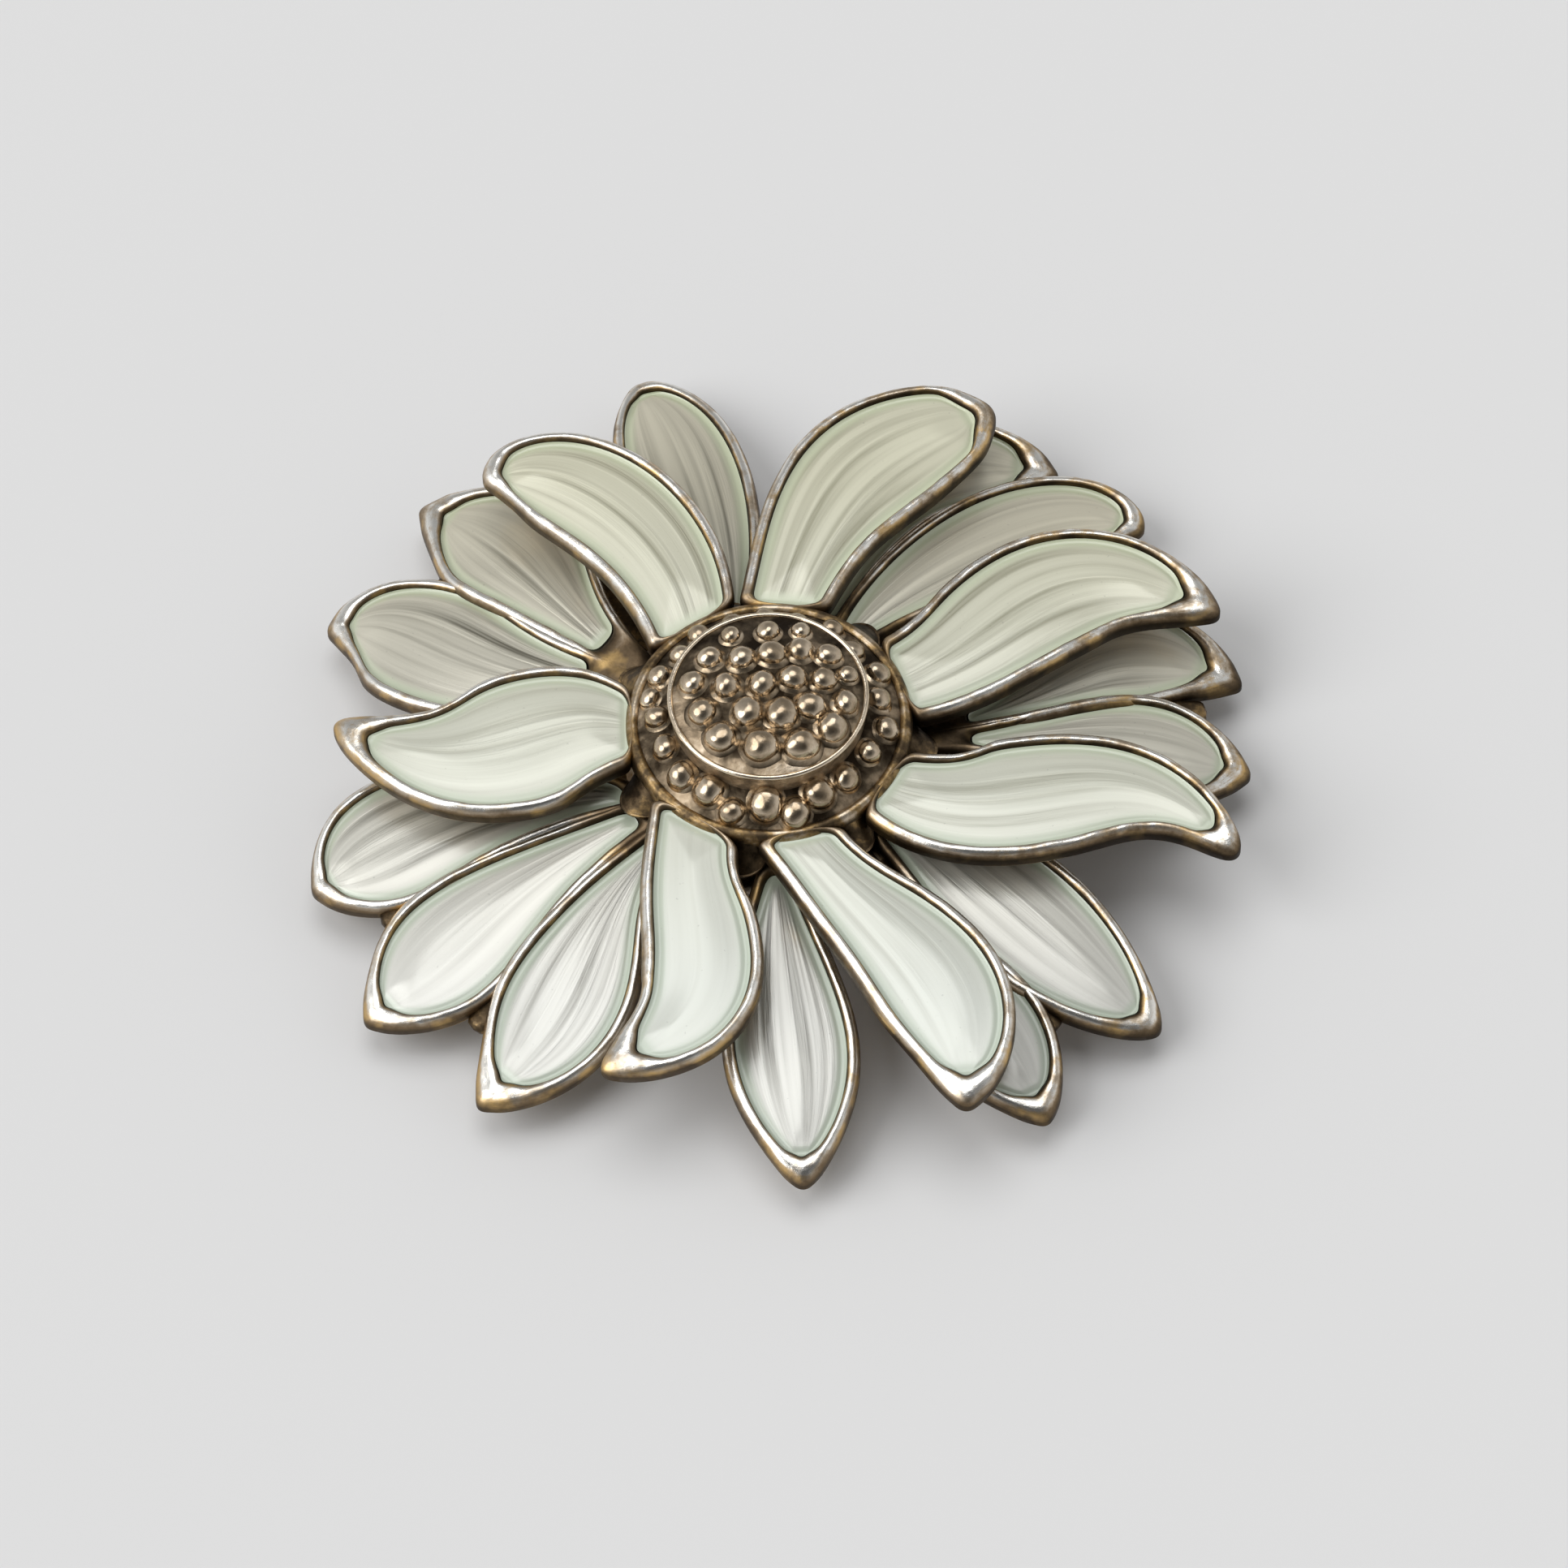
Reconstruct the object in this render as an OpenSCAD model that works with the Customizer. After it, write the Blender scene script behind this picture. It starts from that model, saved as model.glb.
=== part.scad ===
// Two-layer enamelled flower brooch with a hinged pin and a roller catch.
// The flower's axis is Z, the pin lies along X, and z = 0 is the table that the brooch lies on.

/* [Lower flower] */
// Reach of the lower petals from the flower's axis
lower_reach = 22.5; // [20.5:0.5:25]
// Width of a lower petal
lower_w = 6; // [5.2:0.1:6.2]
// Thickness of the lower plate
lower_t = 1; // [0.9:0.05:1.4]
// Rise of the lower plate from its petal tips to its hub
lower_dome = 2.4; // [2:0.1:3]
// Radius of the lower hub
lower_hub_r = 8; // [7:0.1:9]
// Radius at which the lower petals spring from the hub
lower_root_r = 6.5; // [5.5:0.1:7]
// Height of the undersides of the lower petal tips above the table
tip_lift = 1.4; // [1.3:0.1:2.5]
// Width of the webs between neighbouring petals
web_w = 1.4; // [1:0.1:1.8]
// Thickness of the webs
web_t = 0.5; // [0.4:0.05:0.6]
// How far the webs lie below the rims
web_sink = 0.25; // [0.2:0.01:0.35]

/* [Upper flower] */
// Reach of the upper petals from the flower's axis
upper_reach = 21; // [19.5:0.5:23]
// Width of an upper petal
upper_w = 6.4; // [5.8:0.1:6.8]
// Thickness of the upper plate
upper_t = 1.1; // [0.9:0.05:1.5]
// Drop of the upper petals from their roots to their tips
upper_drop = 0.8; // [0.2:0.1:1.2]
// Radius at which the upper petals spring from the hub
upper_root_r = 6.2; // [6:0.1:6.8]
// Depth of the round seat in the upper hub
seat_depth = 0.3; // [0.2:0.05:0.45]

/* [Enamel] */
// Width of the metal rim around a cell
rim_w = 0.6; // [0.45:0.05:0.75]
// Depth of a cell below its rim
cell_depth = 0.75; // [0.6:0.05:0.8]
// How far the edge of the enamel lies below the rim
enamel_below = 0.36; // [0.2:0.01:0.42]
// How far the enamel swells in the middle
enamel_crown = 0.2; // [0.1:0.02:0.3]
// Clearance between the enamel and its cell
enamel_gap = 0.02; // [0.01:0.01:0.05]

/* [Seed centre] */
// Radius of the seed collar
collar_r = 6; // [5.6:0.1:6.4]
// Height of the seed collar
collar_h = 1; // [0.8:0.05:1.3]
// Height of the straight edge of the seed collar
collar_edge = 0.2; // [0.1:0.05:0.4]
// Number of seeds around the collar
collar_seeds = 22; // [12:2:24]
// Radius of a seed on the collar
collar_seed_r = 0.6; // [0.45:0.01:0.65]
// Radius of the seed cap
cap_r = 4.5; // [4:0.1:4.8]
// Height of the wall of the seed cap
cap_wall = 1.1; // [0.8:0.05:1.4]
// Rise of the domed top of the seed cap
cap_dome = 0.85; // [0.5:0.05:1.2]
// Radius of the wire around the seed cap
cap_wire_r = 0.2; // [0.15:0.01:0.3]
// Radius of a seed on the cap
cap_seed_r = 0.66; // [0.5:0.01:0.7]

/* [Rivet stack] */
// Thickness of the spacer between the two flowers
spacer_t = 0.7; // [0.5:0.05:1.2]
// Radius of the spacer
spacer_r = 4.2; // [3:0.1:5]
// Radius of the centre rivet's shank
rivet_r = 0.9; // [0.7:0.05:1.1]
// Radius of the centre rivet's head and of its peened end
rivet_head_r = 1.6; // [1.4:0.05:1.8]
// Thickness of the centre rivet's head
rivet_head_t = 0.5; // [0.4:0.05:0.6]
// Radial clearance around the centre rivet
rivet_gap = 0.05; // [0.03:0.01:0.1]
// Radius of the washer behind the lower flower
washer_r = 2.4; // [2.2:0.1:3]
// Thickness of the washer
washer_t = 0.4; // [0.3:0.05:0.6]

/* [Pin] */
// Distance from the hinge to the middle of the catch
pin_span = 24.6; // [23:0.2:25.6]
// Distance of the pin from the flower's axis
pin_y = 4.8; // [4.2:0.1:5.2]
// Radius of the pin's straight wire
pin_r = 0.45; // [0.35:0.01:0.46]
// Radius of the pin's blunted point
pin_point_r = 0.08; // [0.05:0.01:0.15]
// Length of the pin's tapered point
pin_taper = 6.6; // [5:0.1:8]
// How far the pin reaches past the catch
pin_past = 1.1; // [0.5:0.1:2]

/* [Hinge] */
// Radius of the pin's knuckle
knuckle_r = 1; // [0.85:0.05:1.05]
// Width of the pin's knuckle
knuckle_w = 1.2; // [0.9:0.05:1.4]
// Radius of the hinge rivet
hinge_rivet_r = 0.4; // [0.3:0.02:0.5]
// Running clearance in the hinge
hinge_gap = 0.05; // [0.03:0.01:0.08]
// Clearance of the hinge rivet in the ears, before its heads are closed
ear_gap = 0.01; // [0.01:0.01:0.04]
// Thickness of a hinge ear
ear_t = 0.6; // [0.5:0.05:0.8]
// Radius of a hinge ear's round end
ear_r = 1.05; // [0.9:0.05:1.2]
// Radius of the hinge rivet's heads
hinge_head_r = 0.65; // [0.6:0.01:0.8]
// Thickness of the hinge rivet's heads
hinge_head_t = 0.22; // [0.15:0.01:0.3]
// Radius of the feet of the hinge and the catch
foot_r = 1.8; // [1.6:0.05:1.9]
// Thickness of the feet
foot_t = 0.3; // [0.25:0.01:0.32]
// Height of the flat pads on the back of the lower petals
pad_h = 2.85; // [2.82:0.01:2.88]

/* [Catch] */
// Length of the catch
catch_l = 3.2; // [2.8:0.1:4]
// Outer radius of the catch's housing
housing_r = 1.4; // [1.3:0.02:1.44]
// Wall of the catch's housing
catch_wall = 0.42; // [0.3:0.02:0.44]
// Width of the catch's mouth
mouth_w = 1.2; // [1.1:0.05:1.3]
// Wall of the roller
roller_wall = 0.38; // [0.3:0.02:0.4]
// Running clearance of the roller in its housing
roller_gap = 0.04; // [0.03:0.01:0.06]
// Width of the slot in the roller
slot_w = 1.06; // [1:0.02:1.1]
// Clearance between the roller and the ends of its housing
roller_end_gap = 0.1; // [0.05:0.05:0.3]
// Reach of the thumb tab from the roller's axis
tab_reach = 2.3; // [2:0.1:2.4]
// Width of the thumb tab
tab_w = 0.8; // [0.6:0.05:0.9]
// Side clearance of the thumb tab in its window
tab_gap = 0.1; // [0.05:0.05:0.2]
// Angle of the thumb tab above the table with the catch open
tab_angle = 15; // [10:1:18]

/* [Hidden] */
$fn = 48;
silver_gilt = "#c8bfa8";
old_gold = "#a48652";
milk_enamel = "#dde5d8";

// Turn of the flower that brings two lower petals over the hinge and the catch
flower_turn = 7;

// A petal: bearing of its root, heading there and pull of the spine along that heading, bearing of its tip,
// heading and pull there, extra reach, half-width of its root, two swells and half-width of its tip.
// Pulls are shares of the petal's length, and swells are shares of the petals' width
lower_rows = [
    [102.5, 105.5, 0.27, 105, 135.5, 0.19, 1.15, 0.83, 0.52, 0.77, 0.38],
    [68, 60, 0.6, 48, -15.5, 0.51, -0.85, 0.9, 0.08, 0.94, 0.54],
    [56, 55, 0.25, 35, -45, 0.29, -0.35, 1, 0.35, 0.79, 0.3],
    [3.5, 9, 0.52, 9.5, -28.5, 0.54, 0.25, 0.86, 0.05, 1.02, 0.4],
    [-2, 2, 0.53, -3, -13.5, 0.37, 0, 0.6, 0.16, 0.98, 0.25],
    [-41, -27, 0.28, -40.5, -35, 0.34, 0.4, 0.84, 0.41, 0.84, 0.25],
    [-60, -65, 0.52, -58.5, -68, 0.36, 0.4, 0.76, 0.32, 0.87, 0.25],
    [-89.5, -89.5, 0.54, -88, -89.5, 0.37, 0, 0.76, 0.58, 0.74, 0.25],
    [-135, -135, 0.45, -128.5, -143.5, 0.44, 0, 0.88, 0.29, 0.99, 0.31],
    [-147.5, -153, 0.6, -146, -148, 0.33, 0.5, 1, 0.41, 0.99, 0.25],
    [-156.5, -186, 0.6, -165, -158, 0.22, -0.3, 1, 0.48, 0.99, 0.25],
    [-212, -181.5, 0.6, -203, -170.5, 0.32, 0.15, 1, 0.58, 0.96, 0.25],
    [-214, -221, 0.6, -224, -209, 0.42, 0.4, 1, 0.1, 1.1, 0.25]
];
upper_rows = [
    [82.5, 71.5, 0.52, 57.5, 21, 0.43, 0.3, 2.11, 0.47, 0.79, 1.33],
    [18.5, 18, 0.35, 14.5, -33.5, 0.62, 1.15, 2.4, 0.51, 0.78, 0.26],
    [-34.5, -32, 0.42, -20, -56, 0.55, 1.65, 1.97, 0.69, 0.49, 0.25],
    [-80, -58, 0.43, -68.5, -96, 0.47, 1.2, 2.06, 0.28, 0.85, 0.48],
    [-124.5, -100, 0.46, -115, -158.5, 0.62, -1.1, 2.4, 0.35, 0.65, 0.43],
    [-180, -192, 0.38, -184.5, -217.5, 0.62, -0.6, 2, 0.85, 0.58, 0.37],
    [-237.5, -262, 0.5, -228, -148.5, 0.27, -1.35, 2.34, 0.47, 0.67, 0.56]
];
// Lower petals that crowd a neighbour at the hub, counted from 0
crowded = [3, 4, 11, 12];
// A web between two lower petals: bearing of its notch, and the notch's shortfall from the petals' reach
lower_webs = [[48.7, 2.2], [6.9, 2.9], [-49.8, 4.2], [-135.7, 4.1], [-156.9, 3.9], [144.3, 4.5]];
// A row of seeds on the cap: its distance from the middle, its first seed and its last one,
// all as shares of the cap's radius, and the count of its seeds
cap_rows = [
    [0.63, -0.33, 0.29, 3],
    [0.33, -0.63, 0.57, 5],
    [-0.01, -0.82, 0.76, 6],
    [-0.34, -0.73, 0.74, 5],
    [-0.66, -0.51, 0.51, 4]
];

// Shares of a petal's length: where its tip rounds off, where its cell starts on either flower and on a
// crowded petal, the stretch over which the cell's tip rounds off, and how far short of its end a loft stops
tip_from = 0.94;
lower_cell_from = 0.03;
upper_cell_from = 0.03;
crowded_cell_from = 0.12;
cell_round = 0.08;
end_short = 0.003;
// How much wider than elsewhere the rim is at a petal's tip
tip_rim = 1.4;
// How strongly the two plates bow down towards their tips
lower_bow = 1.6;
upper_bow = 1.5;
// How strongly the cross-sections crowd towards a tip
tip_crowding = 1.5;
// Share of a petal over which its cross-section turns square to its spine
square_from = 0.4;
// Cross-sections along a petal
stations = 12;
// Width of the chamfer along the top of a rim, and depth of the one along its foot
rim_chamfer = 0.16;
foot_chamfer = 0.25;
// Most of a half-width that a chamfer may take
chamfer_share = 0.4;
// Where the enamel's flank lies between its middle and its edge, and its share of the swell
flank_at = 0.55;
flank_rise = 0.7;
// Length of one straight run of a web
web_run = 3;
// Half the angle that a skirt between two upper petals spreads over
skirt_spread = 12;
// Clearance around the seed collar in its seat, around the centre rivet's head in the collar,
// and between the seeds and the cap's wall
seat_gap = 0.06;
head_gap = 0.65;
cap_gap = 0.02;
// Shares of a seed's radius: how far the two rings of seeds stand off the cap and off the collar's edge,
// and how high the seeds' centres stand above their ground
inner_ring = 0.55;
outer_ring = 0.75;
collar_seed_stand = 0.35;
cap_seed_stand = 0.2;
// Angle that the thumb tab's window reaches above the roller's axis
window_rise = 10;
// Overshoot of cutters past the faces that they open
past = 1;

lower_hub_top = tip_lift + lower_t + lower_dome;
lower_hub_under = lower_hub_top - lower_t;
upper_under = lower_hub_top + spacer_t;
upper_top = upper_under + upper_t;
seat_z = upper_top - seat_depth;
collar_top = seat_z + collar_h;
cap_rim_z = collar_top + cap_wall;
hinge_x = pin_span / 2;
catch_x = -pin_span / 2;
foot_z = pad_h - foot_t;
// The lips of the catch's mouth stand on the table, which sets the height of the pin's axis
pin_h = sqrt(pow(housing_r, 2) - pow(mouth_w / 2, 2));
housing_bore = housing_r - catch_wall;
roller_r = housing_bore - roller_gap;
window_w = tab_w + 2 * tab_gap;

function polar(r, a) = [r * cos(a), r * sin(a)];
function ease(x) = let (t = min(max(x, 0), 1)) t * t * (3 - 2 * t);
function bezier(p, s) =
    p[0] * pow(1 - s, 3) + 3 * p[1] * s * pow(1 - s, 2) + 3 * p[2] * s * s * (1 - s) + p[3] * pow(s, 3);
function bezier_heading(p, s) =
    let (d = (p[1] - p[0]) * pow(1 - s, 2) + 2 * (p[2] - p[1]) * s * (1 - s) + (p[3] - p[2]) * s * s)
    atan2(d[1], d[0]);

// Heights of the tops of the two plates at a radius
function lower_top_z(r) =
    lower_hub_top - lower_dome * pow(max(r - lower_root_r, 0) / (lower_reach - lower_root_r), lower_bow);
function upper_top_z(r) =
    upper_top - upper_drop * pow(max(r - upper_root_r, 0) / (upper_reach - upper_root_r), upper_bow);

// A petal is its spine's four control points, its half-widths' four control values,
// the bearing of its root, its length and the share of it where its cell starts
function petal(row, root_r, reach, w, cell_from) =
    let (
        root = polar(root_r, row[0]),
        tip = polar(reach + row[6], row[3]),
        span = norm(tip - root)
    )
    [
        [root, root + polar(row[2] * span, row[1]), tip - polar(row[5] * span, row[4]), tip],
        [row[7], row[8] * w, row[9] * w, row[10]],
        row[0], span, cell_from
    ];
function lower_petal(i) =
    let (cell_from = search(i, crowded) == [] ? lower_cell_from : crowded_cell_from)
    petal(lower_rows[i], lower_root_r, lower_reach, lower_w, cell_from);
function upper_petal(i) = petal(upper_rows[i], upper_root_r, upper_reach, upper_w, upper_cell_from);

// Rounds a width off towards the end of a stretch
function rounded(s, from, end) = sqrt(max(1 - pow(max(s - from, 0) / (end - from), 2), 0));
function half_width(p, s) = bezier(p[1], s) * rounded(s, tip_from, 1);
function cell_end(p) = 1 - tip_rim * rim_w / p[3];
function cell_half(p, s) =
    (bezier(p[1], s) - rim_w) * rounded(s, cell_end(p) - cell_round, cell_end(p));

// Stations that crowd towards the tip, from one share of the petal to another
function shares(from, to) =
    [for (i = [0 : stations]) from + (to - from) * (1 - pow(1 - i / stations, tip_crowding))];

// Places a cross-section's points, each a side offset and a height, square to the spine
function placed(p, s, profile) =
    let (
        at = bezier(p[0], s),
        square = ease(s / square_from),
        heading = bezier_heading(p[0], s),
        turn = ((p[2] - heading + 540) % 360) - 180,
        side = heading + turn * (1 - square) + 90
    )
    [for (q = profile) [at[0] + q[0] * cos(side), at[1] + q[0] * sin(side), q[1]]];

function plate_profile(h, top, t) =
    let (c = min(rim_chamfer, chamfer_share * h), f = min(foot_chamfer, chamfer_share * h))
    [
        [-h + f, top - t], [h - f, top - t], [h, top - t + f], [h, top - c],
        [h - c, top], [-h + c, top], [-h, top - c], [-h, top - t + f]
    ];
function cell_profile(h, top) =
    let (floor_z = top - cell_depth)
    [[-h, floor_z], [h, floor_z], [h, top + past], [-h, top + past]];
function enamel_profile(h, top) =
    let (w = h - enamel_gap, edge = top - enamel_below, floor_z = top - cell_depth + enamel_gap)
    [
        [-w, floor_z], [w, floor_z], [w, edge],
        [flank_at * w, edge + flank_rise * enamel_crown], [0, edge + enamel_crown],
        [-flank_at * w, edge + flank_rise * enamel_crown], [-w, edge]
    ];

module loft(sections) {
    n = len(sections[0]);
    last = len(sections) - 1;
    points = [for (section = sections) each section];
    sides = [
        for (i = [0 : last - 1], j = [0 : n - 1])
            let (a = i * n + j, b = i * n + (j + 1) % n)
            each [[a, a + n, b], [b, a + n, b + n]]
    ];
    ends = [[for (j = [0 : n - 1]) j], [for (j = [n - 1 : -1 : 0]) last * n + j]];
    polyhedron(points, concat(sides, ends));
}

module petal_plate(p, t, lower)
    loft([
        for (s = shares(0, 1 - end_short))
            let (r = norm(bezier(p[0], s)), top = lower ? lower_top_z(r) : upper_top_z(r))
            placed(p, s, plate_profile(half_width(p, s), top, t))
    ]);

module petal_cell(p, lower)
    loft([
        for (s = shares(p[4], cell_end(p) - end_short))
            let (r = norm(bezier(p[0], s)), top = lower ? lower_top_z(r) : upper_top_z(r))
            placed(p, s, cell_profile(cell_half(p, s), top))
    ]);

module petal_enamel(p, lower)
    loft([
        for (s = shares(p[4] + enamel_gap / p[3], cell_end(p) - end_short - enamel_gap / p[3]))
            let (r = norm(bezier(p[0], s)), top = lower ? lower_top_z(r) : upper_top_z(r))
            placed(p, s, enamel_profile(cell_half(p, s), top))
    ]);

module flower_turned() rotate([0, 0, flower_turn]) children();

// A round post of a web, under the top of a plate
module web_post(r, bearing, top)
    translate(concat(polar(r, bearing), top - web_sink - web_t))
        cylinder(d = web_w, h = web_t, $fn = 16);

// A web follows the dome in two straight runs, and its last post rounds the notch
module lower_web(web) {
    notch_r = lower_reach - web[1];
    for (i = [0 : 1]) hull() {
        web_post(notch_r - i * web_run, web[0], lower_top_z(notch_r - i * web_run));
        web_post(notch_r - (i + 1) * web_run, web[0], lower_top_z(notch_r - (i + 1) * web_run));
    }
}

// The flat pad on a petal's back that a foot is soldered to
module pad(x) {
    top = lower_top_z(norm([x, pin_y])) - rim_chamfer;
    translate([x, pin_y, pad_h]) cylinder(r = foot_r, h = top - pad_h);
}

module lower_flower() color(silver_gilt) difference() {
    union() {
        translate([0, 0, lower_hub_under]) cylinder(r = lower_hub_r, h = lower_t);
        pad(hinge_x);
        pad(catch_x);
        flower_turned() {
            for (i = [0 : len(lower_rows) - 1]) petal_plate(lower_petal(i), lower_t, true);
            for (web = lower_webs) lower_web(web);
        }
    }
    flower_turned() for (i = [0 : len(lower_rows) - 1]) petal_cell(lower_petal(i), true);
    translate([0, 0, lower_hub_under - past]) cylinder(r = rivet_r + rivet_gap, h = lower_t + 2 * past);
}

module lower_enamel(i) color(milk_enamel) flower_turned() petal_enamel(lower_petal(i), true);

// Bearing halfway from one row's to the next's
function between(a, b) = a - ((a - b + 720) % 360) / 2;

// The skirt that fills the angle between two upper petals and runs down from the hub
module upper_skirt(i) {
    bearing = between(upper_rows[i][0], upper_rows[(i + 1) % len(upper_rows)][0]);
    for (side = [-1, 1]) hull() {
        web_post(upper_root_r, bearing + side * skirt_spread, upper_top);
        web_post(upper_root_r - web_w, bearing, upper_top);
        web_post(upper_root_r + web_w, bearing, upper_under + web_sink + web_t);
    }
}

module upper_flower() color(silver_gilt) difference() {
    union() {
        translate([0, 0, upper_under]) cylinder(r = upper_root_r + rim_w, h = upper_t);
        flower_turned() for (i = [0 : len(upper_rows) - 1]) {
            petal_plate(upper_petal(i), upper_t, false);
            upper_skirt(i);
        }
    }
    flower_turned() for (i = [0 : len(upper_rows) - 1]) petal_cell(upper_petal(i), false);
    translate([0, 0, seat_z]) cylinder(r = collar_r + seat_gap, h = seat_depth + past, $fn = 96);
    translate([0, 0, upper_under - past]) cylinder(r = rivet_r + rivet_gap, h = upper_t + 2 * past);
}

module upper_enamel(i) color(milk_enamel) flower_turned() petal_enamel(upper_petal(i), false);

module spacer() color(silver_gilt) translate([0, 0, lower_hub_top]) difference() {
    cylinder(r = spacer_r, h = spacer_t);
    translate([0, 0, -past]) cylinder(r = rivet_r + rivet_gap, h = spacer_t + 2 * past);
}

module back_washer() color(silver_gilt) translate([0, 0, lower_hub_under - washer_t]) difference() {
    cylinder(r = washer_r, h = washer_t);
    translate([0, 0, -past]) cylinder(r = rivet_r + rivet_gap, h = washer_t + 2 * past);
}

module centre_rivet() color(silver_gilt) {
    tail_z = lower_hub_under - washer_t;
    translate([0, 0, tail_z]) cylinder(r = rivet_r, h = seat_z - tail_z);
    translate([0, 0, seat_z]) cylinder(r = rivet_head_r, h = rivet_head_t);
    translate([0, 0, tail_z - rivet_head_t]) cylinder(r1 = rivet_r, r2 = rivet_head_r, h = rivet_head_t);
}

// Height of the seed collar's slope at a radius
function collar_slope(r) =
    seat_z + collar_edge + (collar_h - collar_edge) * (collar_r - r) / (collar_r - cap_r);

module seed_collar() color(old_gold) {
    bore = rivet_head_r + head_gap;
    rotate_extrude() polygon([
        [bore, seat_z], [collar_r, seat_z], [collar_r, seat_z + collar_edge],
        [cap_r, collar_top], [bore, collar_top]
    ]);
    inner_r = cap_r + inner_ring * collar_seed_r;
    outer_r = collar_r - outer_ring * collar_seed_r;
    difference() {
        for (i = [0 : collar_seeds - 1]) {
            r = i % 2 == 0 ? inner_r : outer_r;
            z = collar_slope(r) + collar_seed_stand * collar_seed_r;
            translate(concat(polar(r, 360 * i / collar_seeds), z)) sphere(r = collar_seed_r);
        }
        // The inner seeds are hollowed where they nestle against the cap's wall
        translate([0, 0, collar_top]) cylinder(r = cap_r + cap_gap, h = cap_wall);
    }
}

// Height of the domed top of the seed cap at a radius
dome_r = (cap_r * cap_r + cap_dome * cap_dome) / (2 * cap_dome);
function dome_z(r) = cap_rim_z + cap_dome - dome_r + sqrt(dome_r * dome_r - r * r);

module seed_cap() color(old_gold) {
    translate([0, 0, collar_top]) cylinder(r = cap_r, h = cap_wall);
    intersection() {
        translate([0, 0, cap_rim_z + cap_dome - dome_r]) sphere(r = dome_r);
        translate([0, 0, collar_top]) cylinder(r = cap_r, h = cap_wall + cap_dome);
    }
    translate([0, 0, cap_rim_z]) rotate_extrude() translate([cap_r, 0]) circle(r = cap_wire_r);
    flower_turned() for (row = cap_rows, i = [0 : row[3] - 1]) {
        at = cap_r * [row[1] + (row[2] - row[1]) * i / (row[3] - 1), row[0]];
        translate(concat(at, dome_z(norm(at)) + cap_seed_stand * cap_seed_r)) sphere(r = cap_seed_r);
    }
}

// Turns a shape that stands on Z so that it lies across the pin, centred on the hinge's axis
module across_pin(x, w) translate([x, pin_y + w / 2, pin_h]) rotate([90, 0, 0]) children();
// Turns a shape that stands on Z so that it lies along the pin, from x towards the catch
module along_pin(x) translate([x, pin_y, pin_h]) rotate([0, -90, 0]) children();

module foot(x) translate([x, pin_y, foot_z]) cylinder(r = foot_r, h = foot_t);

ears_w = knuckle_w + 2 * hinge_gap + 2 * ear_t;

module hinge_base() color(silver_gilt) difference() {
    union() {
        foot(hinge_x);
        for (side = [-1, 1]) {
            y = pin_y + side * (ears_w - ear_t) / 2;
            translate([hinge_x, y + ear_t / 2, pin_h]) rotate([90, 0, 0]) cylinder(r = ear_r, h = ear_t);
            translate([hinge_x - ear_r, y - ear_t / 2, pin_h])
                cube([2 * ear_r, ear_t, foot_z + foot_t / 2 - pin_h]);
        }
    }
    across_pin(hinge_x, ears_w + 2 * past) cylinder(r = hinge_rivet_r + ear_gap, h = ears_w + 2 * past);
}

module hinge_rivet() color(silver_gilt) {
    shank_w = ears_w + 2 * hinge_head_t;
    across_pin(hinge_x, shank_w) cylinder(r = hinge_rivet_r, h = shank_w);
    across_pin(hinge_x, shank_w) cylinder(r = hinge_head_r, h = hinge_head_t);
    across_pin(hinge_x, -ears_w) cylinder(r = hinge_head_r, h = hinge_head_t);
}

pin_end = catch_x - catch_l / 2 - pin_past;

module pin_stem() color(silver_gilt) difference() {
    union() {
        across_pin(hinge_x, knuckle_w) cylinder(r = knuckle_r, h = knuckle_w);
        along_pin(hinge_x) cylinder(r = pin_r, h = hinge_x - pin_end - pin_taper);
        along_pin(pin_end + pin_taper) cylinder(r1 = pin_r, r2 = pin_point_r, h = pin_taper);
    }
    across_pin(hinge_x, knuckle_w + 2 * past)
        cylinder(r = hinge_rivet_r + hinge_gap, h = knuckle_w + 2 * past);
}

module catch_body() color(silver_gilt) difference() {
    union() {
        foot(catch_x);
        along_pin(catch_x + catch_l / 2) cylinder(r = housing_r, h = catch_l);
    }
    along_pin(catch_x + catch_l / 2 + past) cylinder(r = housing_bore, h = catch_l + 2 * past);
    translate([catch_x - catch_l / 2 - past, pin_y - mouth_w / 2, -past])
        cube([catch_l + 2 * past, mouth_w, pin_h + past]);
    // The window that the thumb tab swings in, which reaches higher on the side where the tab rests
    translate([catch_x - window_w / 2, pin_y - tab_reach, -past])
        cube([window_w, 2 * tab_reach, pin_h + past + housing_r * sin(window_rise)]);
    translate([catch_x - window_w / 2, pin_y + housing_bore / 2, pin_h])
        cube([window_w, tab_reach, housing_r * sin(tab_angle) + tab_w / 2 + tab_gap]);
}

module catch_roller() color(silver_gilt) {
    roller_l = catch_l - 2 * roller_end_gap;
    roller_bore = roller_r - roller_wall;
    difference() {
        along_pin(catch_x + roller_l / 2) cylinder(r = roller_r, h = roller_l);
        along_pin(catch_x + roller_l / 2 + past) cylinder(r = roller_bore, h = roller_l + 2 * past);
        translate([catch_x - roller_l / 2 - past, pin_y - slot_w / 2, pin_h - roller_r - past])
            cube([roller_l + 2 * past, slot_w, roller_r + past]);
    }
    root = roller_bore + roller_wall / 2;
    translate([catch_x, pin_y, pin_h]) rotate([tab_angle, 0, 0]) {
        translate([-tab_w / 2, root, -tab_w / 2]) cube([tab_w, tab_reach - tab_w / 2 - root, tab_w]);
        translate([-tab_w / 2, tab_reach - tab_w / 2, 0]) rotate([0, 90, 0])
            cylinder(r = tab_w / 2, h = tab_w);
    }
}

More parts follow.
